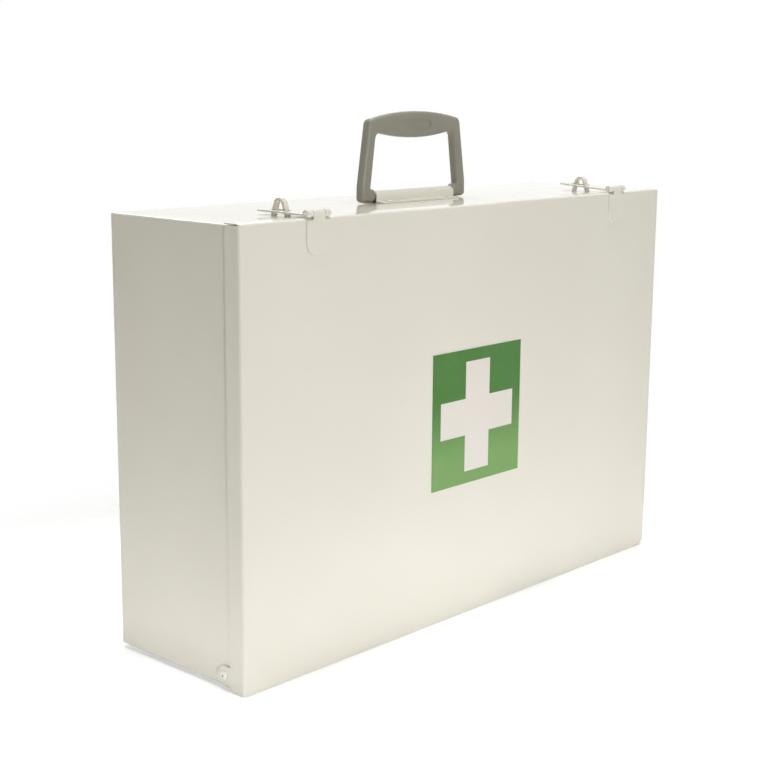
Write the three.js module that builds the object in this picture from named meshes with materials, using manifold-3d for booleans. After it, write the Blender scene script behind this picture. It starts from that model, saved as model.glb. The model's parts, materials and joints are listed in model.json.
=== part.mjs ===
// Sheet-steel first aid box with a drop-down front lid, two slotted hasps and a folding handle.
// Millimetres, +Z up, front towards -Y. Inside the builders x = 0 is the middle of the box,
// y = 0 the front of the lid and z = 0 the underside of the body.
import * as THREE from 'three';
import { mergeVertices } from 'three/addons/utils/BufferGeometryUtils.js';
import Module from 'manifold-3d';

const wasm = await Module();
wasm.setup();

// Box
const boxWidth = 461;
const boxDepth = 128;
const lidTop = 301.7;
const lidDepth = 13.8;
const lidDrop = 2.9;
const lidSheet = 0.7;
const bodySheet = 0.8;
const lidGap = 0.4;
const bendRadius = 1.8;
const bodyBendRadius = 1.2;
const rimSetback = 7;
const backFlange = 10;
const seatGap = 0.1;
const trimGap = 0.3;
const cornerSlit = 0.5;
const flatCornerRun = 20;
const flatCornerRise = 5.2;

// Lid pivots
const hingeY = 19.4;
const hingeZ = 6.9;
const earRadius = 6.5;
const hingeRivetRadius = 1.6;
const hingeHeadRadius = 3.3;
const hingeHeadHeight = 1.3;
const washerRadius = 3.4;
const washerSheet = 1;
const rivetTail = 2;

// Folding handle, its heights counted from its pivot
const handleOffset = 2.5;
const pivotAboveTop = 4.6;
const toePinRadius = 2.6;
const toePinPlay = 0.4;
const toePinReach = 12;
const handleDepth = 8;
const handleEdge = 2.4;
const toeLength = 4.7;
const footLegWidth = 9.1;
const footLegZ = 7.5;
const footTopZ = 5.6;
const footBottomZ = -3.8;
const legLean = 7.4;
const shoulderZ = 55.1;
const crownRise = 5.4;
const topLegWidth = 7.2;
const gripEndDrop = 9;
const bellyDrop = 4.7;
const bellyNotchRadius = 1.5;
const recessLength = 31;
const recessHeight = 6.6;
const recessDepth = 0.4;

// Handle bracket
const bracketLength = 85;
const bracketToToe = 0.6;
const bracketSheet = 1.2;
const bracketFlange = 6.8;
const bracketCorner = 2.4;
const bracketRivetInset = 9.5;
const bracketRivetRadius = 1.2;
const bracketHeadRadius = 2.2;
const bracketHeadHeight = 0.6;
const backingSheet = 1.2;
const backingMargin = 2;

// Hasps
const leftHaspInset = 67.6;
const rightHaspInset = 60.3;
const haspPlateWidth = 22.4;
const haspPlateBottom = 24.2;
const haspPlateTop = 1.2;
const haspPlateSheet = 1;
const haspPlateCorner = 9;
const haspTabWidth = 10.4;
const haspPinRadius = 1.2;
const haspPinPlay = 0.2;
const haspPinRecess = 0.4;
const barrelLift = 0.2;
const strapSheet = 1.2;
const strapDrop = 0.1;
const strapWidth = 21.2;
const strapTipWidth = 15;
const strapShoulder = 8.5;
const strapReach = 50.6;
const strapCorner = 4.5;
const strapSlotWidth = 7.4;
const knuckleGap = 0.4;
const knuckleNotch = 4.6;
const leftStrapRise = 0;
const rightStrapRise = 3;

// Staples
const stapleY = 35.2;
const stapleSpan = 15;
const stapleLean = 19;
const stapleKnee = 0.6;
const stapleStrip = 2.1;
const stapleWidth = 4;
const stapleHeight = 11.9;
const staplePlay = 0.3;
const stapleClinch = 4.5;
const stapleSlotPlay = 1;

// Rubber feet
const footHeight = 3.3;
const footRadius = 8;
const footTaper = 0.9;
const soleEdge = 0.5;
const footInset = 30;
const footFrontY = 35;
const footRearInset = 19.2;
const footStemRadius = 3;
const footBarbRadius = 4.2;
const footBarbHeight = 2.6;

// Green sign with its white cross
const signSize = 100;
const signDrop = 3.15;
const crossSpan = 82;
const crossArm = 27.3;
const vinylSheet = 0.25;
const vinylSeat = 0.05;

// Places that follow from the sizes above
const halfBox = boxWidth / 2;
const bodyHalf = halfBox - lidSheet - lidGap;
const bodyTop = lidTop - lidSheet - lidGap;
const topInside = bodyTop - bodySheet;
const pivotZ = bodyTop + pivotAboveTop;
const handleY = boxDepth / 2 + handleOffset;
const toeHalf = bracketLength / 2 + bracketToToe;
const footHalf = toeHalf + toeLength + footLegWidth;
const shoulderHalf = footHalf - legLean;
const gripEndHalf = shoulderHalf - topLegWidth;
const gripEndZ = shoulderZ - gripEndDrop;
const signZ = lidTop / 2 - signDrop;
const plateFront = -seatGap - haspPlateSheet;
const knuckleInner = haspPinRadius + haspPinPlay;
const knuckleOuter = knuckleInner + strapSheet;
const barrelY = plateFront + knuckleOuter;
const barrelZ = lidTop + barrelLift + knuckleOuter;
const haspPlaces = [
  ['left', -halfBox + leftHaspInset, leftStrapRise],
  ['right', halfBox - rightHaspInset, rightStrapRise],
];
const tunnelRadius = toePinRadius + toePinPlay;
const ridgeRadius = tunnelRadius + bracketSheet;
const bracketHalfWidth = ridgeRadius + bracketFlange;
const bracketBase = bodyTop + seatGap;
const backingTop = topInside - seatGap;
const backingBottom = backingTop - backingSheet;

// Looks
const paint = { color: 0xecebe4, roughness: 0.25, metalness: 0 };
const zinc = { color: 0xb9bbbb, roughness: 0.35, metalness: 1 };
const plastic = { color: 0x878575, roughness: 0.5, metalness: 0 };
const rubber = { color: 0x2b2b2b, roughness: 0.85, metalness: 0 };
const greenVinyl = { color: 0x4f8f3f, roughness: 0.3, metalness: 0 };
const whiteVinyl = { color: 0xf1efe9, roughness: 0.3, metalness: 0 };

const box = new THREE.Group();
box.name = 'first_aid_box';
const boxPlace = new THREE.Matrix4().makeTranslation(0, -(boxDepth + plateFront) / 2, footHeight);

// Solids from three.js shapes
function toSolid(geometry) {
  const bare = geometry.clone();
  bare.deleteAttribute('normal');
  bare.deleteAttribute('uv');
  const merged = mergeVertices(bare, 1e-4);
  const mesh = new wasm.Mesh({
    numProp: 3,
    vertProperties: new Float32Array(merged.attributes.position.array),
    triVerts: new Uint32Array(merged.index.array),
  });
  return new wasm.Manifold(mesh);
}

function addPiece(name, solid, look, place = new THREE.Matrix4()) {
  const mesh = solid.getMesh();
  const geometry = new THREE.BufferGeometry();
  geometry.setAttribute('position', new THREE.BufferAttribute(mesh.vertProperties, 3));
  geometry.setIndex(new THREE.BufferAttribute(mesh.triVerts, 1));
  geometry.applyMatrix4(place).applyMatrix4(boxPlace);
  geometry.computeVertexNormals();
  const piece = new THREE.Mesh(geometry, new THREE.MeshStandardMaterial(look));
  piece.name = name;
  box.add(piece);
}

function cutAll(solid, cutters) {
  return cutters.reduce((rest, cutter) => rest.subtract(cutter), solid);
}

// A shape drawn in Y and Z, run along X
function alongX(shape, x0, x1, curveSegments = 12) {
  const run = new THREE.ExtrudeGeometry(shape, { depth: x1 - x0, bevelEnabled: false, curveSegments });
  const turn = new THREE.Matrix4().set(0, 0, 1, x0, 1, 0, 0, 0, 0, 1, 0, 0, 0, 0, 0, 1);
  return toSolid(run.applyMatrix4(turn));
}

// A shape drawn in X and Z, run along Y, its long edges rounded where an edge radius is given
function alongY(shape, y0, y1, curveSegments = 12, edge = 0) {
  const run = new THREE.ExtrudeGeometry(shape, {
    depth: y1 - y0 - 2 * edge,
    bevelEnabled: edge > 0,
    bevelThickness: edge,
    bevelSize: edge,
    bevelOffset: -edge,
    bevelSegments: 3,
    curveSegments,
  });
  const turn = new THREE.Matrix4().set(1, 0, 0, 0, 0, 0, -1, y1 - edge, 0, 1, 0, 0, 0, 0, 0, 1);
  return toSolid(run.applyMatrix4(turn));
}

// A shape drawn in X and Y, run along Z
function alongZ(shape, z0, z1, curveSegments = 12) {
  const run = new THREE.ExtrudeGeometry(shape, { depth: z1 - z0, bevelEnabled: false, curveSegments });
  return toSolid(run.translate(0, 0, z0));
}

function block(x0, x1, y0, y1, z0, z1) {
  const size = new THREE.BoxGeometry(x1 - x0, y1 - y0, z1 - z0);
  return toSolid(size.translate((x0 + x1) / 2, (y0 + y1) / 2, (z0 + z1) / 2));
}

function rodAlongX(radius, x0, x1, y, z, segments = 24) {
  const rod = new THREE.CylinderGeometry(radius, radius, x1 - x0, segments);
  return toSolid(rod.rotateZ(Math.PI / 2).translate((x0 + x1) / 2, y, z));
}

function rodAlongZ(radius, z0, z1, x, y, segments = 16) {
  const rod = new THREE.CylinderGeometry(radius, radius, z1 - z0, segments);
  return toSolid(rod.rotateX(Math.PI / 2).translate(x, y, (z0 + z1) / 2));
}

// A turned piece standing on Z, from [radius, height] pairs that start and end on the axis
function turned(profile, segments = 16) {
  const points = profile.map(([radius, height]) => new THREE.Vector2(radius, height));
  return toSolid(new THREE.LatheGeometry(points, segments).rotateX(Math.PI / 2));
}

// A closed outline through [x, y, radius] corners, each corner rounded by its own radius
function outlineOf(corners) {
  const outline = new THREE.Shape();
  corners.forEach(([x, y, radius = 0], i) => {
    const here = new THREE.Vector2(x, y);
    const back = new THREE.Vector2(...corners.at(i - 1).slice(0, 2)).sub(here).normalize();
    const on = new THREE.Vector2(...corners[(i + 1) % corners.length].slice(0, 2)).sub(here).normalize();
    const half = Math.acos(back.dot(on)) / 2;
    const start = here.clone().addScaledVector(back, radius / Math.tan(half));
    if (i === 0) outline.moveTo(start.x, start.y);
    else outline.lineTo(start.x, start.y);
    if (radius === 0) return;
    const end = here.clone().addScaledVector(on, radius / Math.tan(half));
    const centre = here.clone().addScaledVector(back.clone().add(on).normalize(), radius / Math.sin(half));
    const from = start.sub(centre).angle();
    const to = end.sub(centre).angle();
    outline.absarc(centre.x, centre.y, radius, from, to, back.cross(on) > 0);
  });
  return outline;
}

function rectangle(a0, a1, b0, b1, radii = [0, 0, 0, 0]) {
  return outlineOf([[a0, b0, radii[0]], [a1, b0, radii[1]], [a1, b1, radii[2]], [a0, b1, radii[3]]]);
}

// Lid
function lidForm(inset) {
  const radius = bendRadius - inset;
  const side = halfBox - inset;
  const [front, rear] = [inset, lidDepth + inset];
  const [low, high] = [-lidDrop - inset, lidTop - inset];
  const plan = rectangle(-side, side, front, rear, [radius, radius, 0, 0]);
  const profile = rectangle(front, rear, low, high, [0, 0, 0, radius]);
  return alongZ(plan, low, high, 4).intersect(alongX(profile, -side, side, 4));
}

function lidEar(side) {
  const front = lidDepth - 2 * lidSheet;
  const rear = hingeY + earRadius;
  const ear = rectangle(front, rear, hingeZ - earRadius, hingeZ + earRadius, [0, earRadius, earRadius, 0]);
  const x0 = side > 0 ? halfBox - lidSheet : -halfBox;
  return alongX(ear, x0, x0 + lidSheet);
}

// The slit where the bend of the top flange stops at a side flange
function lidCornerSlit(side) {
  const x0 = side > 0 ? halfBox - lidSheet : -halfBox - lidSheet;
  const top = lidTop - lidSheet;
  return block(x0, x0 + 2 * lidSheet, bendRadius, lidDepth + lidSheet, top - cornerSlit, top);
}

// The lower rear corner of a side flange is rounded off below its ear
function lidRearCornerCut(side) {
  const low = -lidDrop;
  const rise = lidDrop + hingeZ - earRadius;
  const cut = new THREE.Shape();
  cut.moveTo(lidDepth + lidSheet, low - lidSheet);
  cut.lineTo(lidDepth + lidSheet, low + rise);
  cut.lineTo(lidDepth, low + rise);
  cut.quadraticCurveTo(lidDepth - rise / 8, low + rise / 8, lidDepth - rise, low);
  cut.lineTo(lidDepth - rise, low - lidSheet);
  const x0 = side > 0 ? halfBox - 2 * lidSheet : -halfBox - lidSheet;
  return alongX(cut, x0, x0 + 3 * lidSheet);
}

// The lower right corner of the lid is rounded in a long flat curve
function lidFlatCornerCut() {
  const low = -lidDrop;
  const cut = new THREE.Shape();
  cut.moveTo(halfBox - flatCornerRun, low - lidSheet);
  cut.lineTo(halfBox + lidSheet, low - lidSheet);
  cut.lineTo(halfBox + lidSheet, low + flatCornerRise);
  cut.lineTo(halfBox, low + flatCornerRise);
  cut.quadraticCurveTo(halfBox - flatCornerRun / 4, low, halfBox - flatCornerRun, low);
  return alongY(cut, -lidSheet, lidDepth + lidSheet);
}

function buildLid() {
  let lid = lidForm(0).subtract(lidForm(lidSheet));
  for (const side of [-1, 1]) {
    lid = cutAll(lid, [lidCornerSlit(side), lidRearCornerCut(side)]).add(lidEar(side));
  }
  const pivotHoles = rodAlongX(hingeRivetRadius + trimGap, -boxWidth, boxWidth, hingeY, hingeZ);
  addPiece('lid_panel', cutAll(lid, [lidFlatCornerCut(), pivotHoles]), paint);
}

// Places of the fixings that pass through the body
function stapleLegHoles(centre, z0, z1) {
  const halfX = stapleWidth / 2 + staplePlay;
  const halfY = stapleStrip / 2 + staplePlay;
  const offset = (stapleSpan - stapleStrip) / 2;
  const legs = [stapleY - offset, stapleY + offset];
  return legs.map((y) => block(centre - halfX, centre + halfX, y - halfY, y + halfY, z0, z1));
}

function bracketRivetPlaces() {
  const x = bracketLength / 2 - bracketRivetInset;
  const y = ridgeRadius + bracketFlange / 2;
  return [[-x, handleY - y], [x, handleY - y], [-x, handleY + y], [x, handleY + y]];
}

function bracketRivetHoles(z0, z1) {
  const radius = bracketRivetRadius + trimGap;
  return bracketRivetPlaces().map(([x, y]) => rodAlongZ(radius, z0, z1, x, y));
}

function footPlaces() {
  const x = bodyHalf - footInset;
  const rear = boxDepth - footRearInset;
  return [['front_left', -x, footFrontY], ['front_right', x, footFrontY],
    ['rear_left', -x, rear], ['rear_right', x, rear]];
}

// Body
function buildWrapper() {
  const side = bodyHalf - bodySheet;
  const section = rectangle(-bodyHalf, bodyHalf, 0, bodyTop, Array(4).fill(bodyBendRadius));
  section.holes.push(rectangle(-side, side, bodySheet, topInside, Array(4).fill(bodyBendRadius - bodySheet)));
  const wrapper = alongY(section, rimSetback, boxDepth, 4);
  const cuts = bracketRivetHoles(topInside - bodySheet, bodyTop + bodySheet);
  for (const [, centre] of haspPlaces) {
    cuts.push(...stapleLegHoles(centre, topInside - bodySheet, bodyTop + bodySheet));
  }
  for (const [, x, y] of footPlaces()) {
    cuts.push(rodAlongZ(footStemRadius + trimGap, -bodySheet, 2 * bodySheet, x, y));
  }
  cuts.push(rodAlongX(hingeRivetRadius + trimGap, -boxWidth, boxWidth, hingeY, hingeZ));
  addPiece('body_wrapper', cutAll(wrapper, cuts), paint);
}

// The back is a shallow tray pressed into the rear of the wrapper
function backForm(inset, front) {
  const low = bodySheet + trimGap + inset;
  const side = bodyHalf - low;
  const section = rectangle(-side, side, low, bodyTop - low, Array(4).fill(bodyBendRadius - inset));
  return alongY(section, front, boxDepth - inset, 4);
}

function buildBack() {
  const front = boxDepth - backFlange;
  addPiece('back_panel', backForm(0, front).subtract(backForm(bodySheet, front - bodySheet)), paint);
}

// A rivet with its head above z = 0, set through a stack as thick as the grip; a blind one has a bore
function rivet(radius, headRadius, headHeight, grip, tail, bore = 0) {
  const bulb = radius * 1.5;
  const rim = headHeight * 0.3;
  const sweep = 1.25;
  const steps = 4;
  const profile = [[0, -grip - tail], [radius, -grip - tail], [bulb, -grip - tail / 2], [bulb, -grip],
    [radius, -grip], [radius, 0], [headRadius, 0]];
  for (let i = 0; i <= steps; i += 1) {
    const angle = (sweep * i) / steps;
    const rise = (headHeight - rim) * Math.sin(angle) / Math.sin(sweep);
    profile.push([headRadius * Math.cos(angle), rim + rise]);
  }
  if (bore > 0) profile.push([bore, headHeight], [bore, rim]);
  profile.push([0, bore > 0 ? rim : headHeight]);
  return turned(profile);
}

function buildHingeFixings() {
  const head = halfBox + seatGap;
  const washerOuter = bodyHalf - bodySheet - seatGap;
  const washerInner = washerOuter - washerSheet;
  const grip = head - washerInner + seatGap;
  for (const [name, side] of [['left', -1], ['right', 1]]) {
    const bore = hingeRivetRadius / 2;
    const blind = rivet(hingeRivetRadius, hingeHeadRadius, hingeHeadHeight, grip, rivetTail, bore);
    const turn = new THREE.Matrix4().makeRotationY(side * Math.PI / 2);
    addPiece(`hinge_rivet_${name}`, blind, zinc, turn.setPosition(side * head, hingeY, hingeZ));
    const x0 = side > 0 ? washerInner : -washerOuter;
    const disc = rodAlongX(washerRadius, x0, x0 + washerSheet, hingeY, hingeZ);
    const hole = rodAlongX(hingeRivetRadius + trimGap, -boxWidth, boxWidth, hingeY, hingeZ);
    addPiece(`hinge_washer_${name}`, disc.subtract(hole), zinc);
  }
}

// Folding handle
function handleSide(side) {
  const legInner = toeHalf + toeLength;
  const tight = handleEdge * 1.15;
  return [
    [side * toeHalf, footTopZ, tight], [side * toeHalf, footBottomZ, tight],
    [side * footHalf, footBottomZ, tight], [side * footHalf, footLegZ, 2 * footLegWidth],
    [side * shoulderHalf, shoulderZ, 2 * handleEdge],
    [side * gripEndHalf, gripEndZ, 2 * handleEdge], [side * legInner, footTopZ, handleEdge / 2],
  ];
}

function curveBetween(half, edgeZ, middleZ, steps) {
  const points = [];
  for (let i = 1; i < steps; i += 1) {
    const t = 1 - (2 * i) / steps;
    points.push([half * t, middleZ + (edgeZ - middleZ) * t * t]);
  }
  return points;
}

function buildHandle() {
  const right = handleSide(1);
  const left = handleSide(-1).reverse();
  const bellyZ = gripEndZ - bellyDrop;
  const crown = curveBetween(shoulderHalf, shoulderZ, shoulderZ + crownRise, 8);
  const belly = curveBetween(-gripEndHalf, gripEndZ, bellyZ, 8);
  const corners = [...right.slice(0, 5), ...crown, ...left.slice(2), ...left.slice(0, 2), ...belly,
    ...right.slice(5)];
  const halfDepth = handleDepth / 2;
  let handle = alongY(outlineOf(corners), -halfDepth, halfDepth, 4, handleEdge);
  // Below the pivot the feet are half round, so that they swing clear of the box
  const swing = new THREE.Shape();
  swing.moveTo(halfDepth, shoulderZ + 2 * crownRise);
  swing.lineTo(-halfDepth, shoulderZ + 2 * crownRise);
  swing.absarc(0, 0, halfDepth, Math.PI, 2 * Math.PI, false);
  handle = handle.intersect(alongX(swing, -2 * footHalf, 2 * footHalf, 12));
  // The grip has a shallow long round-ended recess in both faces
  const gripMiddle = (bellyZ + shoulderZ + crownRise) / 2;
  const [recessX, recessZ] = [recessLength / 2, recessHeight / 2];
  const round = Array(4).fill(recessZ * 0.98);
  const oval = rectangle(-recessX, recessX, gripMiddle - recessZ, gripMiddle + recessZ, round);
  const floor = halfDepth - recessDepth;
  const recesses = [[-handleDepth, -floor], [floor, handleDepth]].map(([y0, y1]) => alongY(oval, y0, y1, 6));
  handle = cutAll(handle, recesses);
  const pinRoot = footHalf - footLegWidth / 2;
  const pinTip = toeHalf - toePinReach;
  for (const [x0, x1] of [[-pinRoot, -pinTip], [pinTip, pinRoot]]) {
    handle = handle.add(rodAlongX(toePinRadius, x0, x1, 0, 0));
  }
  const notch = new THREE.Shape();
  notch.absarc(0, bellyZ, bellyNotchRadius, 0, Math.PI * 2);
  handle = handle.subtract(alongY(notch, -handleDepth, handleDepth, 8));
  addPiece('carry_handle', handle, plastic, new THREE.Matrix4().makeTranslation(0, handleY, pivotZ));
}

// Handle bracket, a hat section whose tunnel holds the toe pins
function buildBracket() {
  const low = bracketBase;
  const high = low + bracketSheet;
  const hat = new THREE.Shape();
  hat.moveTo(handleY - bracketHalfWidth, low);
  hat.lineTo(handleY - tunnelRadius, low);
  hat.lineTo(handleY - tunnelRadius, pivotZ);
  hat.absarc(handleY, pivotZ, tunnelRadius, Math.PI, 0, true);
  hat.lineTo(handleY + tunnelRadius, low);
  hat.lineTo(handleY + bracketHalfWidth, low);
  hat.lineTo(handleY + bracketHalfWidth, high);
  hat.lineTo(handleY + ridgeRadius + bracketSheet / 2, high);
  hat.quadraticCurveTo(handleY + ridgeRadius, high, handleY + ridgeRadius, high + bracketSheet / 2);
  hat.lineTo(handleY + ridgeRadius, pivotZ);
  hat.absarc(handleY, pivotZ, ridgeRadius, 0, Math.PI, false);
  hat.lineTo(handleY - ridgeRadius, high + bracketSheet / 2);
  hat.quadraticCurveTo(handleY - ridgeRadius, high, handleY - ridgeRadius - bracketSheet / 2, high);
  hat.lineTo(handleY - bracketHalfWidth, high);
  const half = bracketLength / 2;
  const [front, rear] = [handleY - bracketHalfWidth, handleY + bracketHalfWidth];
  const outline = rectangle(-half, half, front, rear, Array(4).fill(bracketCorner));
  const plan = alongZ(outline, low, pivotZ + 2 * ridgeRadius, 4);
  const bracket = alongX(hat, -half, half, 6).intersect(plan);
  const holes = bracketRivetHoles(low - bracketSheet, high + bracketSheet);
  addPiece('handle_bracket', cutAll(bracket, holes), paint);
}

function buildBracketFixings() {
  const head = bracketBase + bracketSheet + seatGap;
  const grip = head - backingBottom + seatGap;
  bracketRivetPlaces().forEach(([x, y], i) => {
    const solid = rivet(bracketRivetRadius, bracketHeadRadius, bracketHeadHeight, grip, rivetTail);
    addPiece(`bracket_rivet_${i + 1}`, solid, paint, new THREE.Matrix4().makeTranslation(x, y, head));
  });
  const halfX = bracketLength / 2;
  const halfY = bracketHalfWidth + backingMargin;
  const outline = rectangle(-halfX, halfX, handleY - halfY, handleY + halfY, Array(4).fill(bracketCorner));
  const plate = alongZ(outline, backingBottom, backingTop, 6);
  const holes = bracketRivetHoles(backingBottom - bodySheet, backingTop + bodySheet);
  addPiece('handle_backing_plate', cutAll(plate, holes), zinc);
}

// Hasp plate on the lid, its tab curled round the pin as the middle knuckle
function buildHaspPlate(name, centre) {
  const half = haspPlateWidth / 2;
  const [low, high] = [lidTop - haspPlateBottom, lidTop - haspPlateTop];
  const front = rectangle(-half, half, low, high, [haspPlateCorner, haspPlateCorner, 1, 1]);
  const plate = alongY(front, plateFront, -seatGap);
  const curlInner = knuckleOuter - haspPlateSheet;
  const curlEnd = -2.1;
  const curl = new THREE.Shape();
  curl.moveTo(-seatGap, high - haspPlateSheet);
  curl.lineTo(-seatGap, barrelZ);
  curl.absarc(barrelY, barrelZ, curlInner, Math.PI, curlEnd, true);
  curl.absarc(barrelY, barrelZ, knuckleOuter, curlEnd, Math.PI, false);
  curl.lineTo(plateFront, high - haspPlateSheet);
  const tab = alongX(curl, -haspTabWidth / 2, haspTabWidth / 2, 14);
  addPiece(`hasp_plate_${name}`, plate.add(tab), paint, new THREE.Matrix4().makeTranslation(centre, 0, 0));
  const pinHalf = strapWidth / 2 - haspPinRecess;
  const pin = rodAlongX(haspPinRadius, centre - pinHalf, centre + pinHalf, barrelY, barrelZ, 24);
  addPiece(`hasp_pin_${name}`, pin, zinc);
}

// Hasp strap, drawn about its pin: two knuckles, a tapered tongue and the slot for the staple
function buildStrap(name, centre, rise) {
  const half = strapWidth / 2;
  const tipHalf = strapTipWidth / 2;
  const curlEnd = 5.4;
  const side = new THREE.Shape();
  side.moveTo(strapReach, -strapDrop - strapSheet);
  side.lineTo(knuckleInner, -strapDrop - strapSheet);
  side.lineTo(knuckleInner, 0);
  side.absarc(0, 0, knuckleInner, 0, curlEnd, false);
  side.absarc(0, 0, knuckleOuter, curlEnd, -Math.asin(strapDrop / knuckleOuter), true);
  side.lineTo(strapReach, -strapDrop);
  const plan = outlineOf([[-half, -2 * knuckleOuter], [half, -2 * knuckleOuter], [half, strapShoulder, half],
    [tipHalf, strapReach, strapCorner], [-tipHalf, strapReach, strapCorner], [-half, strapShoulder, half]]);
  const trim = alongZ(plan, -2 * knuckleOuter, 2 * knuckleOuter, 8);
  const notchHalf = haspTabWidth / 2 + knuckleGap;
  const notch = rectangle(-notchHalf, notchHalf, -2 * knuckleOuter, knuckleNotch, [0, 0, 1, 1]);
  const slotHalf = strapSlotWidth / 2;
  const slotFront = stapleY - stapleSpan / 2 - stapleSlotPlay - barrelY;
  const slotRear = stapleY + stapleSpan / 2 + stapleSlotPlay - barrelY;
  const slotCorner = slotHalf * 0.95;
  const slot = rectangle(-slotHalf, slotHalf, slotFront, slotRear, Array(4).fill(slotCorner));
  const cuts = [notch, slot].map((shape) => alongZ(shape, -2 * knuckleOuter, 2 * knuckleOuter, 6));
  const strap = cutAll(alongX(side, -half, half, 14).intersect(trim), cuts);
  const turn = new THREE.Matrix4().makeRotationX(THREE.MathUtils.degToRad(rise));
  addPiece(`hasp_strap_${name}`, strap, paint, turn.setPosition(centre, barrelY, barrelZ));
}

// Staple, a strip bent into an arch: from the knees above the body its legs lean in to a round top, and
// below they pass through the body and are clinched outwards under a backing plate
function buildStaple(name, centre) {
  const outer = stapleSpan / 2;
  const lean = THREE.MathUtils.degToRad(stapleLean);
  const reach = stapleHeight - outer * Math.cos(lean) - stapleKnee * Math.sin(lean);
  const archRise = reach / (1 - Math.sin(lean));
  const archRadius = stapleHeight - archRise;
  const archZ = bodyTop + archRise;
  const kneeZ = bodyTop + stapleKnee;
  const innerKneeZ = kneeZ - stapleStrip * Math.tan(lean / 2);
  const clinchTop = backingBottom - seatGap;
  const clinchBottom = clinchTop - stapleStrip;
  const [front, rear] = [stapleY - outer, stapleY + outer];
  const strip = new THREE.Shape();
  strip.moveTo(front, kneeZ);
  strip.lineTo(front, clinchTop);
  strip.lineTo(front - stapleClinch, clinchTop);
  strip.lineTo(front - stapleClinch, clinchBottom);
  strip.lineTo(front + stapleStrip, clinchBottom);
  strip.lineTo(front + stapleStrip, innerKneeZ);
  strip.absarc(stapleY, archZ, archRadius - stapleStrip, Math.PI - lean, lean, true);
  strip.lineTo(rear - stapleStrip, innerKneeZ);
  strip.lineTo(rear - stapleStrip, clinchBottom);
  strip.lineTo(rear + stapleClinch, clinchBottom);
  strip.lineTo(rear + stapleClinch, clinchTop);
  strip.lineTo(rear, clinchTop);
  strip.lineTo(rear, kneeZ);
  strip.absarc(stapleY, archZ, archRadius, lean, Math.PI - lean, false);
  const staple = alongX(strip, centre - stapleWidth / 2, centre + stapleWidth / 2, 12);
  addPiece(`staple_${name}`, staple, paint);
  const halfX = haspPlateWidth / 2;
  const halfY = outer + stapleClinch + backingMargin;
  const corners = Array(4).fill(bracketCorner);
  const outline = rectangle(centre - halfX, centre + halfX, stapleY - halfY, stapleY + halfY, corners);
  const holes = stapleLegHoles(centre, backingBottom - bodySheet, backingTop + bodySheet);
  addPiece(`staple_backing_${name}`, cutAll(alongZ(outline, backingBottom, backingTop, 6), holes), zinc);
}

// Rubber feet pushed through holes in the floor
function buildFeet() {
  const barbLow = bodySheet + seatGap;
  const sole = footRadius - footTaper;
  const barbHigh = barbLow + footBarbHeight;
  const profile = [[0, -footHeight], [sole - soleEdge, -footHeight], [sole, soleEdge - footHeight],
    [footRadius, -seatGap], [footStemRadius, -seatGap], [footStemRadius, barbLow], [footBarbRadius, barbLow],
    [footBarbRadius - footTaper / 2, (barbLow + barbHigh) / 2], [footStemRadius - footTaper, barbHigh],
    [0, barbHigh]];
  for (const [name, x, y] of footPlaces()) {
    addPiece(`foot_${name}`, turned(profile), rubber, new THREE.Matrix4().makeTranslation(x, y, 0));
  }
}

// The sign is laid in two colours, the cross let into the green
function crossOutline(span, arm) {
  const [s, a] = [span / 2, arm / 2];
  const corners = [[-a, -s], [a, -s], [a, -a], [s, -a], [s, a], [a, a], [a, s], [-a, s], [-a, a], [-s, a],
    [-s, -a], [-a, -a]];
  return outlineOf(corners.map(([x, z]) => [x, z + signZ]));
}

function buildSign() {
  const half = signSize / 2;
  const green = rectangle(-half, half, signZ - half, signZ + half);
  green.holes.push(crossOutline(crossSpan, crossArm));
  const [front, rear] = [-vinylSeat - vinylSheet, -vinylSeat];
  addPiece('sign_green', alongY(green, front, rear), greenVinyl);
  const cross = crossOutline(crossSpan - 2 * vinylSeat, crossArm - 2 * vinylSeat);
  addPiece('sign_cross', alongY(cross, front, rear), whiteVinyl);
}

buildWrapper();
buildBack();
buildLid();
buildHingeFixings();
buildHandle();
buildBracket();
buildBracketFixings();
for (const [name, centre, rise] of haspPlaces) {
  buildHaspPlate(name, centre);
  buildStrap(name, centre, rise);
  buildStaple(name, centre);
}
buildFeet();
buildSign();

export default box;
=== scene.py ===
# %% [markdown]
# # A sheet-steel first aid box
# The box is a folded white steel case with a lid that drops forward on two rivets, two slotted
# hasps over padlock staples, a folding plastic handle and a green sign with a white cross.
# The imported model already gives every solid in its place, in metres, so this script only has to
# dress it: each solid gets the soft edges and the finish that its real material has.

# %% The frame
import json
import math

import bmesh
import bpy
from mathutils import Matrix, Vector

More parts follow.
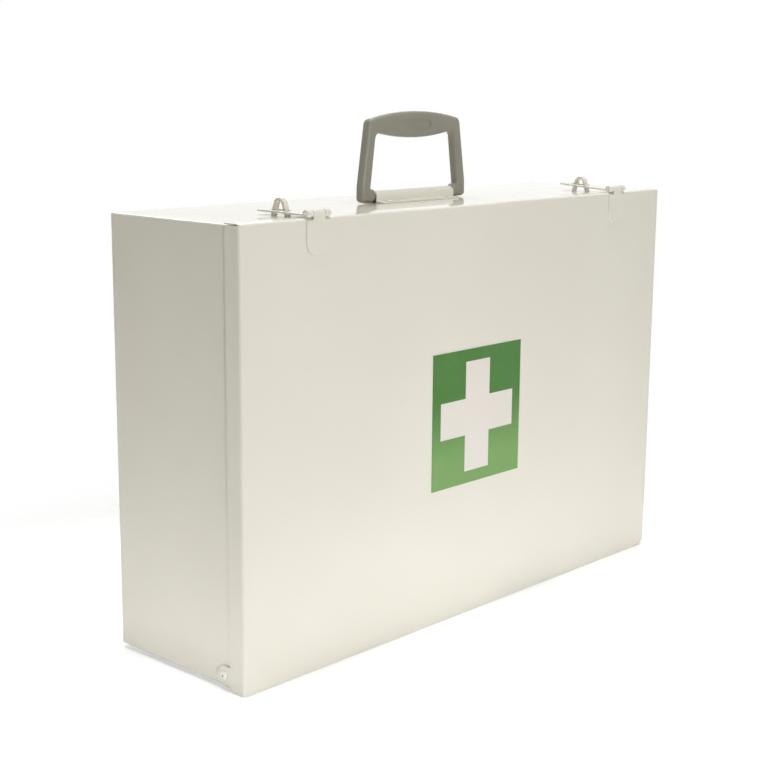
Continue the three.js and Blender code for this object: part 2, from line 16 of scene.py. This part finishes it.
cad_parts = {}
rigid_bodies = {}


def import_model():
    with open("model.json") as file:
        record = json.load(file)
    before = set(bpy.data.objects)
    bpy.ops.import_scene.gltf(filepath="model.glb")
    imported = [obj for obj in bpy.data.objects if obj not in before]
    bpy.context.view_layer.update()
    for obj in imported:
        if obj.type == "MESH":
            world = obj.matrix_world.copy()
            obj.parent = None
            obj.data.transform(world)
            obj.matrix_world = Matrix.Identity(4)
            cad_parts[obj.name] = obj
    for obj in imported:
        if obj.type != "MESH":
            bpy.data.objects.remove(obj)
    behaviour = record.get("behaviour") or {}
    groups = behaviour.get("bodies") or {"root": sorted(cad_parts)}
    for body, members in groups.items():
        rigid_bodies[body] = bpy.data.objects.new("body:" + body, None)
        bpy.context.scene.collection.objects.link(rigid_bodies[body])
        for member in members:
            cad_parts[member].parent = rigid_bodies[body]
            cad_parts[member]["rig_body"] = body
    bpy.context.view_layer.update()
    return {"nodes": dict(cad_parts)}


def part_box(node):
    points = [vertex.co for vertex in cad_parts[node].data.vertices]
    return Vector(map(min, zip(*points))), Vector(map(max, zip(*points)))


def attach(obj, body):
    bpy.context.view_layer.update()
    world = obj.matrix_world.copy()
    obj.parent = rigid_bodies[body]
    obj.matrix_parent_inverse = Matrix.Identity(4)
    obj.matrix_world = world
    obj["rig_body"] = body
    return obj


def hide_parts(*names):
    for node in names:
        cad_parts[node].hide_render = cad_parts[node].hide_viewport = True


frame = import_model()
nodes = frame["nodes"]
MM = 0.001
print("solids in the frame:", len(nodes))

# %% [markdown]
# ## The camera
# The box was seen from the front left and a little above. A long lens keeps its uprights almost
# parallel. Turning about Z first, then tipping down, then rolling by a fraction of a degree is the
# order in which a camera on a tripod is aimed, so the three angles stay easy to read.

# %% Camera
EYE = Vector((-0.8313, -0.7412, 0.3906))
HEADING = math.radians(-47.15)
TIP = math.radians(11.485)
ROLL = math.radians(0.45)
LENS_MM = 69.95
SENSOR_MM = 36
NEAREST, FURTHEST = 0.05, 50

lens = bpy.data.cameras.new("view")
lens.lens = LENS_MM
lens.sensor_width = SENSOR_MM
lens.clip_start = NEAREST
lens.clip_end = FURTHEST
camera = bpy.data.objects.new("view", lens)
bpy.context.scene.collection.objects.link(camera)
turned = Matrix.Rotation(HEADING, 4, "Z")
tipped = Matrix.Rotation(math.pi / 2 - TIP, 4, "X")
rolled = Matrix.Rotation(ROLL, 4, "Z")
aim = turned @ tipped @ rolled
camera.matrix_world = Matrix.Translation(EYE) @ aim
bpy.context.scene.camera = camera

# %% [markdown]
# ## Helpers for materials
# Colours are picked as sRGB hex values, the way a paint chart gives them, and one function turns
# them to the linear values that the shader wants. Another adds a node with its settings and its
# links, so that each finish below reads as a list of its nodes.

# %% Colour helper
def linear(hex_colour):
    channels = [int(hex_colour[i:i + 2], 16) / 255 for i in (1, 3, 5)]
    return [c / 12.92 if c <= 0.04045 else ((c + 0.055) / 1.055) ** 2.4 for c in channels] + [1]


print("a middle grey in linear light:", round(linear("#808080")[0], 3))


# %% Node helpers
def add(tree, kind, inputs=None, **settings):
    made = tree.nodes.new(kind)
    for name, value in settings.items():
        setattr(made, name, value)
    for name, value in (inputs or {}).items():
        if isinstance(value, bpy.types.NodeSocket):
            tree.links.new(value, made.inputs[name])
        else:
            made.inputs[name].default_value = value
    return made


def new_finish(name):
    finish = bpy.data.materials.new(name)
    finish.use_nodes = True
    finish.node_tree.nodes.clear()
    return finish, finish.node_tree


print("materials before dressing:", len(bpy.data.materials))

# %% [markdown]
# ## White powder coat
# The steel is sprayed with a polyester powder and baked. The melt flows into a hard, glossy skin of
# a warm white, with a faint orange peel, waves of about 3 mm that only show in reflections. A
# dielectric with an IOR of 1.5 and low roughness gives the gloss, two very low bumps give the peel
# and the finer skin on it, and a slight drift of tone keeps the large faces from looking like
# plastic. The coat could be layered over a metal, but it hides the steel, so one shader does.

# %% Powder coat
PEEL_WAVE, PEEL_HEIGHT = 3 * MM, 0.008 * MM
SKIN_GRAIN, SKIN_HEIGHT = 0.8 * MM, 0.004 * MM
TONE_DRIFT = 90 * MM


def powder_coat():
    finish, tree = new_finish("warm_white_powder_coat")
    place = add(tree, "ShaderNodeTexCoord").outputs["Object"]
    drift = add(tree, "ShaderNodeTexNoise", {
        "Vector": place, "Scale": 1 / TONE_DRIFT, "Detail": 2}).outputs["Fac"]
    tone = add(tree, "ShaderNodeMix", {
        "Factor": drift, "A": linear("#E1DED5"), "B": linear("#E7E4DB")}, data_type="RGBA")
    peel = add(tree, "ShaderNodeTexNoise", {
        "Vector": place, "Scale": 1 / PEEL_WAVE, "Detail": 1.5})
    grain = add(tree, "ShaderNodeTexNoise", {
        "Vector": place, "Scale": 1 / SKIN_GRAIN, "Detail": 1})
    waves = add(tree, "ShaderNodeBump", {
        "Height": peel.outputs["Fac"], "Strength": 0.2, "Distance": PEEL_HEIGHT})
    skin = add(tree, "ShaderNodeBump", {
        "Height": grain.outputs["Fac"], "Strength": 0.1, "Distance": SKIN_HEIGHT,
        "Normal": waves.outputs["Normal"]})
    haze = add(tree, "ShaderNodeMapRange", {"Value": drift, "To Min": 0.02, "To Max": 0.05})
    shader = add(tree, "ShaderNodeBsdfPrincipled", {
        "Base Color": tone.outputs["Result"], "Roughness": haze.outputs["Result"], "IOR": 1.5,
        "Normal": skin.outputs["Normal"]})
    add(tree, "ShaderNodeOutputMaterial", {"Surface": shader.outputs["BSDF"]})
    return finish


white_coat = powder_coat()
print("made", white_coat.name)

# %% [markdown]
# ## Zinc-plated steel
# Rivets, washers and hasp pins are barrel plated: a bright grey metal with small flat patches from
# tumbling. A metal keeps the default IOR, and the patches come from a cell pattern that drives the
# tone, the roughness and a shallow bump together. Plain noise would look like cast metal instead,
# because it has no flat patches.

# %% Zinc plate
TUMBLE_PATCH, DENT_DEPTH = 0.7 * MM, 0.03 * MM


def zinc_plate():
    finish, tree = new_finish("bright_zinc_plate")
    place = add(tree, "ShaderNodeTexCoord").outputs["Object"]
    patches = add(tree, "ShaderNodeTexVoronoi", {
        "Vector": place, "Scale": 1 / TUMBLE_PATCH}).outputs["Distance"]
    tone = add(tree, "ShaderNodeMix", {
        "Factor": patches, "A": linear("#EFEDE6"), "B": linear("#D6D4CE")}, data_type="RGBA")
    haze = add(tree, "ShaderNodeMapRange", {"Value": patches, "To Min": 0.22, "To Max": 0.42})
    dents = add(tree, "ShaderNodeBump", {
        "Height": patches, "Strength": 0.3, "Distance": DENT_DEPTH})
    shader = add(tree, "ShaderNodeBsdfPrincipled", {
        "Base Color": tone.outputs["Result"], "Roughness": haze.outputs["Result"],
        "Metallic": 1, "Normal": dents.outputs["Normal"]})
    add(tree, "ShaderNodeOutputMaterial", {"Surface": shader.outputs["BSDF"]})
    return finish


bright_zinc = zinc_plate()
print("made", bright_zinc.name)

# %% [markdown]
# ## Grey moulded plastic
# The handle is injection-moulded polypropylene in a warm grey. The mould is spark eroded, which
# leaves a fine matt grain of about 0.3 mm. It is drawn at 0.5 mm here, so that it shows at all.
# The grain could be carved into the mesh, but it is far finer than a pixel, so a bump is enough.

# %% Handle plastic
MOULD_FLOW = 25 * MM
SPARK_GRAIN, SPARK_DEPTH = 0.5 * MM, 0.05 * MM


def moulded_plastic():
    finish, tree = new_finish("grey_moulded_polypropylene")
    place = add(tree, "ShaderNodeTexCoord").outputs["Object"]
    flow = add(tree, "ShaderNodeTexNoise", {
        "Vector": place, "Scale": 1 / MOULD_FLOW, "Detail": 3})
    tone = add(tree, "ShaderNodeMix", {
        "Factor": flow.outputs["Fac"], "A": linear("#86847A"), "B": linear("#939185")},
        data_type="RGBA")
    grain = add(tree, "ShaderNodeTexNoise", {
        "Vector": place, "Scale": 1 / SPARK_GRAIN, "Detail": 2}).outputs["Fac"]
    etch = add(tree, "ShaderNodeBump", {
        "Height": grain, "Strength": 0.35, "Distance": SPARK_DEPTH})
    haze = add(tree, "ShaderNodeMapRange", {"Value": grain, "To Min": 0.3, "To Max": 0.42})
    shader = add(tree, "ShaderNodeBsdfPrincipled", {
        "Base Color": tone.outputs["Result"], "Roughness": haze.outputs["Result"],
        "IOR": 1.49, "Normal": etch.outputs["Normal"]})
    add(tree, "ShaderNodeOutputMaterial", {"Surface": shader.outputs["BSDF"]})
    return finish


handle_plastic = moulded_plastic()
print("made", handle_plastic.name)

# %% [markdown]
# ## Black rubber
# The feet are moulded nitrile rubber, matt and slightly dusty, with a grain of about 0.6 mm. A
# plain black would look like a hole in the picture, so patches of dust lift it a little.

# %% Foot rubber
DUST_PATCH = 6 * MM
RUBBER_GRAIN, RUBBER_DEPTH = 0.6 * MM, 0.08 * MM


def foot_rubber():
    finish, tree = new_finish("black_nitrile_rubber")
    place = add(tree, "ShaderNodeTexCoord").outputs["Object"]
    dust = add(tree, "ShaderNodeTexNoise", {
        "Vector": place, "Scale": 1 / DUST_PATCH, "Detail": 4})
    tone = add(tree, "ShaderNodeMix", {
        "Factor": dust.outputs["Fac"], "A": linear("#232323"), "B": linear("#3A3836")},
        data_type="RGBA")
    grain = add(tree, "ShaderNodeTexNoise", {
        "Vector": place, "Scale": 1 / RUBBER_GRAIN, "Detail": 2})
    skin = add(tree, "ShaderNodeBump", {
        "Height": grain.outputs["Fac"], "Strength": 0.4, "Distance": RUBBER_DEPTH})
    shader = add(tree, "ShaderNodeBsdfPrincipled", {
        "Base Color": tone.outputs["Result"], "Roughness": 0.8, "IOR": 1.52,
        "Normal": skin.outputs["Normal"]})
    add(tree, "ShaderNodeOutputMaterial", {"Surface": shader.outputs["BSDF"]})
    return finish


black_rubber = foot_rubber()
print("made", black_rubber.name)

# %% [markdown]
# ## Printed vinyl film
# The sign is screen printed on self-adhesive vinyl. The ink lies slightly uneven, the film has a
# soft gloss, and it follows the orange peel of the coat below it. Towards the lower edge the ink is
# painted lighter. This painted lift stands in for the light that the lit paper throws up onto the
# lower part of the sign. A picture of the sign could be laid on the lid, but here each colour is a
# solid of its own, so two plain inks do. The painted lift runs down the sign's own height, which
# the frame gives.

# %% Where the ink is painted lighter
sign_low, sign_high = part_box("sign_green")
# From the upper of these two heights down to the lower one, the ink is painted lighter. This is a
# painted lift for the light that the paper throws up.
PAINTED_LIFT_START = sign_low.z + 0.72 * (sign_high.z - sign_low.z)
PAINTED_LIFT_END = sign_low.z + 0.12 * (sign_high.z - sign_low.z)
INK_BLOTCH, BLOTCH_SHARE = 14 * MM, 0.12
FILM_WAVE_HEIGHT = 0.015 * MM
# Prints the height over which the ink is painted lighter.
print("ink fades over mm:", round((PAINTED_LIFT_START - PAINTED_LIFT_END) / MM, 1))


# %% Sign film
def printed_film(name, upper_ink, painted_lighter_ink):
    finish, tree = new_finish(name)
    place = add(tree, "ShaderNodeTexCoord").outputs["Object"]
    ink = add(tree, "ShaderNodeTexNoise", {
        "Vector": place, "Scale": 1 / INK_BLOTCH, "Detail": 5}).outputs["Fac"]
    height = add(tree, "ShaderNodeSeparateXYZ", {"Vector": place}).outputs["Z"]
    # Here fade is the painted lift. It is 0 above the upper height and 1 near the lower edge, where
    # the ink takes its painted lighter colour.
    fade = add(tree, "ShaderNodeMapRange", {
        "Value": height, "From Min": PAINTED_LIFT_START, "From Max": PAINTED_LIFT_END},
        interpolation_type="SMOOTHSTEP")
    blotch = add(tree, "ShaderNodeMapRange", {
        "Value": ink, "To Min": -BLOTCH_SHARE, "To Max": BLOTCH_SHARE})
    # The painted lift plus the ink's own uneven blotches.
    lift_and_blotch = add(tree, "ShaderNodeMath", {
        0: fade.outputs["Result"], 1: blotch.outputs["Result"]}, operation="ADD", use_clamp=True)
    tone = add(tree, "ShaderNodeMix", {
        "Factor": lift_and_blotch.outputs["Value"], "A": linear(upper_ink), "B": linear(painted_lighter_ink)},
        data_type="RGBA")
    peel = add(tree, "ShaderNodeTexNoise", {
        "Vector": place, "Scale": 1 / PEEL_WAVE, "Detail": 1.5})
    waves = add(tree, "ShaderNodeBump", {
        "Height": peel.outputs["Fac"], "Strength": 0.2, "Distance": FILM_WAVE_HEIGHT})
    haze = add(tree, "ShaderNodeMapRange", {"Value": ink, "To Min": 0.18, "To Max": 0.26})
    shader = add(tree, "ShaderNodeBsdfPrincipled", {
        "Base Color": tone.outputs["Result"], "Roughness": haze.outputs["Result"], "IOR": 1.5,
        "Normal": waves.outputs["Normal"]})
    add(tree, "ShaderNodeOutputMaterial", {"Surface": shader.outputs["BSDF"]})
    return finish


# Each film's second colour is its ink painted lighter at the lower edge, a painted lift for the
# paper's bounced light. For the white cross it barely differs.
green_film = printed_film("green_printed_vinyl", "#3B771F", "#739F58")
white_film = printed_film("white_printed_vinyl", "#E4DED9", "#E2DEDA")
print("made", green_film.name, "and", white_film.name)

# %% [markdown]
# ## Soft edges on the solids
# Folded and punched sheet has no knife edges: the coat rounds each one by a tenth or two of a
# millimetre, and that thin rounding is what catches the light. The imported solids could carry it
# themselves, but it would multiply their faces, so it is added here for the looks alone. A copy of
# each solid is merged, its flat faces are joined, and a Bevel modifier rounds only the edges that
# are sharp. Edge weights tell it which ones, so that an edge which lies on a neighbour, such as the
# rear edge of a hasp leaf on the lid, stays tight to it instead of opening a groove.

# %% A merged copy with its sharp edges weighted
MERGE_REACH = 0.001 * MM
FLAT_ANGLE = math.radians(0.2)
SHARP_ANGLE = math.radians(32)
SEAT_REACH = 0.02 * MM


def on_seat(edge, seat):
    axis, level = seat
    return all(abs(vert.co[axis] - level) < SEAT_REACH for vert in edge.verts)


def merged_mesh(node_name, mesh_name, seat):
    shape = bmesh.new()
    shape.from_mesh(nodes[node_name].data)
    bmesh.ops.remove_doubles(shape, verts=shape.verts, dist=MERGE_REACH)
    bmesh.ops.dissolve_limit(shape, angle_limit=FLAT_ANGLE, verts=shape.verts, edges=shape.edges)
    for face in shape.faces:
        face.smooth = True
    weight = shape.edges.layers.float.new("bevel_weight_edge")
    for edge in shape.edges:
        edge.smooth = edge.calc_face_angle(0) < SHARP_ANGLE
        edge[weight] = 0.0 if edge.smooth or (seat and on_seat(edge, seat)) else 1.0
    mesh = bpy.data.meshes.new(mesh_name)
    shape.to_mesh(mesh)
    shape.free()
    return mesh


print("edges are rounded where faces turn by degrees:", round(math.degrees(SHARP_ANGLE)))


# %% Dressing a solid
def dress(node_name, piece_name, finish, edge_mm, seat=None):
    mesh = merged_mesh(node_name, piece_name, seat)
    mesh.materials.append(finish)
    piece = bpy.data.objects.new(piece_name, mesh)
    bpy.context.scene.collection.objects.link(piece)
    if edge_mm:
        soft = piece.modifiers.new("soft_edges", "BEVEL")
        soft.width = edge_mm * MM
        soft.segments = 2
        soft.limit_method = "WEIGHT"
        soft.harden_normals = True
    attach(piece, nodes[node_name]["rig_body"])
    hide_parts(node_name)
    return piece


print("solids to dress:", len(nodes))

# %% [markdown]
# ## Folded sheet pieces
# The case, its back, the lid, the handle's saddle, the hasps and the staples are all folded, curled
# or bent steel under the same white coat. The hasps and the staples are thicker than the sheet of
# the case, so their edges get a wider rounding. The saddle and the leaves lie on a neighbour, and
# the level where they touch it is kept sharp.

# %% Seats
HASP_LEAF_SHEET = 1 * MM
Y_AXIS, Z_AXIS = 1, 2
SEATS = {"handle_bracket": (Z_AXIS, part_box("handle_bracket")[0].z)}
for leaf in ("hasp_plate_left", "hasp_plate_right"):
    SEATS[leaf] = (Y_AXIS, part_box(leaf)[0].y + HASP_LEAF_SHEET)
print("pieces with a seat:", len(SEATS))

# %% Coated sheet
COATED = {
    "body_wrapper": ("case_sheet", 0.18),
    "back_panel": ("case_back", 0.18),
    "lid_panel": ("lid_sheet", 0.18),
    "handle_bracket": ("handle_saddle", 0.14),
    "hasp_plate_left": ("left_hasp_leaf", 0.5),
    "hasp_plate_right": ("right_hasp_leaf", 0.5),
    "hasp_strap_left": ("left_hasp_tongue", 0.25),
    "hasp_strap_right": ("right_hasp_tongue", 0.25),
    "staple_left": ("left_padlock_staple", 0.3),
    "staple_right": ("right_padlock_staple", 0.3),
}
for node_name, (piece_name, edge_mm) in COATED.items():
    dress(node_name, piece_name, white_coat, edge_mm, SEATS.get(node_name))
print("coated sheet pieces:", len(COATED))

# %% [markdown]
# ## Rivets and plated fixings
# The saddle's rivets are sprayed together with the case, so they are white too. The pivot rivets,
# their washers, the hasp pins and the backing plates inside are fitted bare, in bright zinc. Their
# edges are rounded by about a tenth of a millimetre, as cold heading and punching leave them.

# %% Fixings
SADDLE_RIVETS = [name for name in nodes if name.startswith("bracket_rivet")]
for node_name in SADDLE_RIVETS:
    dress(node_name, node_name.replace("bracket", "saddle"), white_coat, 0.1)
print("coated rivets:", len(SADDLE_RIVETS))

PLATED_STARTS = ("hinge_", "hasp_pin", "staple_backing", "handle_backing")
PLATED = [name for name in nodes if name.startswith(PLATED_STARTS)]
for node_name in PLATED:
    dress(node_name, node_name + "_plated", bright_zinc, 0.08)
print("plated fixings:", len(PLATED))

# %% [markdown]
# ## Handle, feet and sign
# The handle's mould already rounds its edges in the solid, and a printed film is cut square, so
# neither gets a bevel. The rubber feet have a soft moulded edge.

# %% Handle, feet and sign
dress("carry_handle", "carry_handle_moulding", handle_plastic, 0)
FEET = [name for name in nodes if name.startswith("foot_")]
for node_name in FEET:
    dress(node_name, node_name + "_rubber", black_rubber, 0.3)
dress("sign_green", "sign_green_film", green_film, 0)
dress("sign_cross", "sign_cross_film", white_film, 0)
print("feet:", len(FEET))

# %% [markdown]
# ## Floor
# The box stands on white paper. A curved sweep would hide the horizon from the front only, so the
# floor is a wide flat disc of matt paper, which works from every side. It keeps the box's shadow,
# though a pale one. Further out it fades for the camera and for the gloss of the coat, which see
# the white air of the room through it. The open lid hangs lower than the feet. It shows there
# through the faded paper, and the paper's underside is clear, so that a view from below shows the
# box, and about half of the lamps' light reaches the lid.

# %% White paper
FADE_FROM, FADE_TO = 0.25, 0.45
LEAST_FADE = 0.5
LIGHT_THROUGH = 0.55


def white_paper():
    finish, tree = new_finish("white_paper_sweep")
    place = add(tree, "ShaderNodeTexCoord").outputs["Object"]
    reach = add(tree, "ShaderNodeVectorMath", {"Vector": place}, operation="LENGTH")
    fade = add(tree, "ShaderNodeMapRange", {
        "Value": reach.outputs["Value"], "From Min": FADE_FROM, "From Max": FADE_TO,
        "To Min": LEAST_FADE}, interpolation_type="SMOOTHSTEP")
    seen = add(tree, "ShaderNodeLightPath").outputs
    shown = add(tree, "ShaderNodeMath", {
        0: seen["Is Camera Ray"], 1: seen["Is Glossy Ray"]}, operation="MAXIMUM")
    faded = add(tree, "ShaderNodeMath", {
        0: fade.outputs["Result"], 1: shown.outputs["Value"]}, operation="MULTIPLY")
    passed = add(tree, "ShaderNodeMath", {
        0: seen["Is Shadow Ray"], 1: LIGHT_THROUGH - 1, 2: 1}, operation="MULTIPLY_ADD")
    underside = add(tree, "ShaderNodeNewGeometry").outputs["Backfacing"]
    below = add(tree, "ShaderNodeMath", {
        0: underside, 1: passed.outputs["Value"]}, operation="MULTIPLY")
    clear = add(tree, "ShaderNodeMath", {
        0: faded.outputs["Value"], 1: below.outputs["Value"]}, operation="MAXIMUM")
    paper = add(tree, "ShaderNodeBsdfDiffuse", {"Color": linear("#F6F6F6")})
    air = add(tree, "ShaderNodeBsdfTransparent")
    mixed = add(tree, "ShaderNodeMixShader", {
        "Fac": clear.outputs["Value"], 1: paper.outputs["BSDF"], 2: air.outputs["BSDF"]})
    add(tree, "ShaderNodeOutputMaterial", {"Surface": mixed.outputs["Shader"]})
    return finish


paper_sweep = white_paper()
print("made", paper_sweep.name)

# %% Floor disc
FLOOR_RADIUS = 8
FLOOR_SIDES = 96

disc = bmesh.new()
bmesh.ops.create_circle(disc, cap_ends=True, segments=FLOOR_SIDES, radius=FLOOR_RADIUS)
for face in disc.faces:
    face.normal_update()
    if face.normal.z < 0:
        face.normal_flip()
floor_mesh = bpy.data.meshes.new("studio_floor")
disc.to_mesh(floor_mesh)
disc.free()
floor_mesh.materials.append(paper_sweep)
floor = bpy.data.objects.new("studio_floor", floor_mesh)
bpy.context.scene.collection.objects.link(floor)
print("floor radius in m:", FLOOR_RADIUS)

# %% [markdown]
# ## The room
# A room lights a thing from all round, so the world comes before the lamps: a low, slightly warm
# light, which leaves the shaded side of the box warm. The camera sees the world as plain white, and
# so does the gloss, but for a greyer ceiling, which gives the curled and rounded edges their
# modelling. Light Path tells these rays apart. A panorama picture could do the same, but it would
# tie the scene to a file.

# %% World
ROOM_STRENGTH = 0.12
ROOM_WARMTH = (1, 0.9, 0.52, 1)
WALL_TOP, CEILING_FROM = 0.3, 0.75
CEILING_GLOSS = 0.45

world = bpy.data.worlds.new("studio_air")
bpy.context.scene.world = world
world.use_nodes = True
air = world.node_tree
air.nodes.clear()
seen = add(air, "ShaderNodeLightPath").outputs
upward = add(air, "ShaderNodeSeparateXYZ", {
    "Vector": add(air, "ShaderNodeTexCoord").outputs["Generated"]}).outputs["Z"]
wall = add(air, "ShaderNodeMapRange", {
    "Value": upward, "From Min": WALL_TOP, "From Max": CEILING_FROM,
    "To Min": 1, "To Max": CEILING_GLOSS}, interpolation_type="SMOOTHSTEP")
gloss = add(air, "ShaderNodeMath", {
    0: seen["Is Glossy Ray"], 1: wall.outputs["Result"]}, operation="MULTIPLY")
shown = add(air, "ShaderNodeMath", {
    0: seen["Is Camera Ray"], 1: gloss.outputs["Value"]}, operation="MAXIMUM")
dim = add(air, "ShaderNodeBackground", {"Color": ROOM_WARMTH, "Strength": ROOM_STRENGTH})
full = add(air, "ShaderNodeBackground", {"Color": (1, 1, 1, 1), "Strength": 1})
both = add(air, "ShaderNodeMixShader", {
    "Fac": shown.outputs["Value"], 1: dim.outputs["Background"], 2: full.outputs["Background"]})
add(air, "ShaderNodeOutputWorld", {"Surface": both.outputs["Shader"]})
bpy.context.scene.view_settings.view_transform = "Standard"
print("world nodes:", len(air.nodes))

# %% [markdown]
# ## Soft boxes
# A large soft box hangs above the box and lights its top. A small key stands at the front left,
# where it draws the thin shadow behind the lid's flange, and a weak one fills from behind. Area
# lamps give these edges their soft shadows, which point lamps would draw hard. Each row gives where
# the lamp stands, where it looks, its width and height in metres and its power.

# %% Soft boxes
SOFT_BOXES = {
    "overhead_box": ((0.1, 0.0, 1.9), (0, 0, 0.1), 1.6, 1.2, 29.5),
    "key_box": ((-1.0, -2.0, 0.5), (0, 0, 0.15), 0.16, 0.3, 14.5),
    "rear_box": ((1.1, 1.9, 1.2), (0, 0, 0.15), 1.0, 1.0, 12),
}
for name, (spot, target, width, height, watts) in SOFT_BOXES.items():
    lamp = bpy.data.lights.new(name, "AREA")
    lamp.shape = "RECTANGLE"
    lamp.size = width
    lamp.size_y = height
    lamp.energy = watts
    holder = bpy.data.objects.new(name, lamp)
    holder.location = spot
    look = Vector(target) - Vector(spot)
    holder.rotation_euler = look.to_track_quat("-Z", "Y").to_euler()
    holder.visible_camera = False
    bpy.context.scene.collection.objects.link(holder)
print("soft boxes:", len(SOFT_BOXES))

# %% [markdown]
# ## Lamps for the paper
# Narrow lamps point straight down at the paper round the box. The paper throws their light back
# up, which makes the lower parts of the faces the brightest, as they are on a box that stands on
# lit paper. A glowing floor would do it too, but it would take the shadow away. Near the box the
# paper fades only by half, so these lamps also give the paper there the last of its white: without
# them it is a very pale grey. Each row gives a place over the floor and a power.

# %% Paper lamps
POOL_HEIGHT = 1.5
POOL_CONE = math.radians(13)
POOL_BLEND = 0.6
POOL_LAMP_RADIUS = 0.04
PAPER_LAMPS = {
    "left": (-0.37, 0.0, 86), "right": (0.37, 0.0, 80),
    "front_left": (-0.21, -0.2, 52), "front_middle": (-0.03, -0.2, 62),
    "front_right": (0.16, -0.2, 55),
    "rear_left": (-0.15, 0.2, 50), "rear_right": (0.15, 0.2, 50),
}
for side, (x, y, watts) in PAPER_LAMPS.items():
    beam = bpy.data.lights.new(side + "_paper_lamp", "SPOT")
    beam.energy = watts
    beam.spot_size = POOL_CONE
    beam.spot_blend = POOL_BLEND
    beam.shadow_soft_size = POOL_LAMP_RADIUS
    holder = bpy.data.objects.new(side + "_paper_lamp", beam)
    holder.location = (x, y, POOL_HEIGHT)
    bpy.context.scene.collection.objects.link(holder)
print("paper lamps:", len(PAPER_LAMPS))
